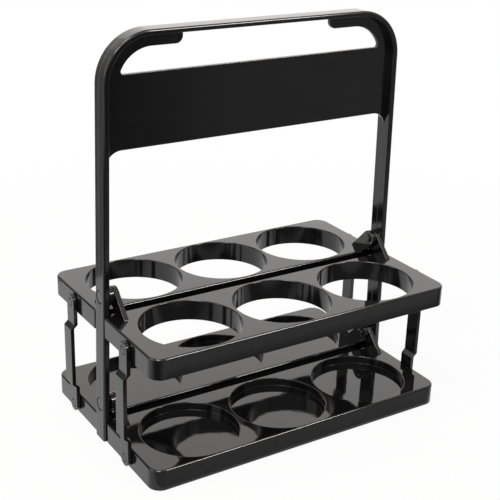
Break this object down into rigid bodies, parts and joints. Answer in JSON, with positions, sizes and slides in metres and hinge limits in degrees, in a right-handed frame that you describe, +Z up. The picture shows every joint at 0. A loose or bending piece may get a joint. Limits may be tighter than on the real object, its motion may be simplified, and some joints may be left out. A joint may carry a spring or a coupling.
{
  "type": "folding bottle carrier",
  "caption": "Folding bottle carrier: an inverted U handle with a flat panel, and two tiers of trays that hinge on its posts and are tied by bowed links at their ends.",
  "frame": {"origin": "on the floor, midway between the posts and between the front and the rear trays", "axes": "+Z up along the handle, X along the carrier from the left to the right post, +Y towards the rear trays"},
  "size_m": [0.3318, 0.2078, 0.3755],
  "materials": {
    "handle_frame": "glossy black moulded plastic",
    "upper_tray": "glossy black moulded plastic",
    "lower_tray": "glossy black moulded plastic",
    "link": "glossy black moulded plastic",
    "post_pin": "glossy black moulded plastic",
    "link_pin": "glossy black moulded plastic"
  },
  "bodies": {
    "handle": {"handle_frame": "handle_frame", "left_upper_post_pin": "post_pin", "left_lower_post_pin": "post_pin", "right_upper_post_pin": "post_pin", "right_lower_post_pin": "post_pin"},
    "front_upper_tray": {"front_upper_tray": "upper_tray", "left_front_upper_link_pin": "link_pin", "right_front_upper_link_pin": "link_pin"},
    "front_lower_tray": {"front_lower_tray": "lower_tray", "left_front_lower_link_pin": "link_pin", "right_front_lower_link_pin": "link_pin"},
    "left_front_link": {"left_front_link": "link"},
    "right_front_link": {"right_front_link": "link"},
    "rear_upper_tray": {"rear_upper_tray": "upper_tray", "left_rear_upper_link_pin": "link_pin", "right_rear_upper_link_pin": "link_pin"},
    "rear_lower_tray": {"rear_lower_tray": "lower_tray", "left_rear_lower_link_pin": "link_pin", "right_rear_lower_link_pin": "link_pin"},
    "left_rear_link": {"left_rear_link": "link"},
    "right_rear_link": {"right_rear_link": "link"}
  },
  "joints": [
    {"name": "front_fold", "type": "hinge", "parent": "handle", "child": "front_upper_tray", "pos_m": [0, 0, 0.1426], "axis": [-1, 0, 0], "range_deg": [0, 90]},
    {"name": "front_lower_fold", "type": "hinge", "parent": "handle", "child": "front_lower_tray", "pos_m": [0, 0, 0.0356], "axis": [-1, 0, 0], "range_deg": [0, 90]},
    {"name": "left_front_link_pivot", "type": "hinge", "parent": "front_upper_tray", "child": "left_front_link", "pos_m": [-0.158, -0.0548, 0.1168], "axis": [-1, 0, 0], "range_deg": [-90, 0]},
    {"name": "right_front_link_pivot", "type": "hinge", "parent": "front_upper_tray", "child": "right_front_link", "pos_m": [0.158, -0.0548, 0.1168], "axis": [-1, 0, 0], "range_deg": [-90, 0]},
    {"name": "rear_fold", "type": "hinge", "parent": "handle", "child": "rear_upper_tray", "pos_m": [0, 0, 0.1426], "axis": [1, 0, 0], "range_deg": [0, 90]},
    {"name": "rear_lower_fold", "type": "hinge", "parent": "handle", "child": "rear_lower_tray", "pos_m": [0, 0, 0.0356], "axis": [1, 0, 0], "range_deg": [0, 90]},
    {"name": "left_rear_link_pivot", "type": "hinge", "parent": "rear_upper_tray", "child": "left_rear_link", "pos_m": [-0.158, 0.0548, 0.1168], "axis": [1, 0, 0], "range_deg": [-90, 0]},
    {"name": "right_rear_link_pivot", "type": "hinge", "parent": "rear_upper_tray", "child": "right_rear_link", "pos_m": [0.158, 0.0548, 0.1168], "axis": [1, 0, 0], "range_deg": [-90, 0]}
  ],
  "couplings": [
    {"joint": "front_lower_fold", "follows": "front_fold", "ratio": 1},
    {"joint": "left_front_link_pivot", "follows": "front_fold", "ratio": -1},
    {"joint": "right_front_link_pivot", "follows": "front_fold", "ratio": -1},
    {"joint": "rear_lower_fold", "follows": "rear_fold", "ratio": 1},
    {"joint": "left_rear_link_pivot", "follows": "rear_fold", "ratio": -1},
    {"joint": "right_rear_link_pivot", "follows": "rear_fold", "ratio": -1}
  ]
}
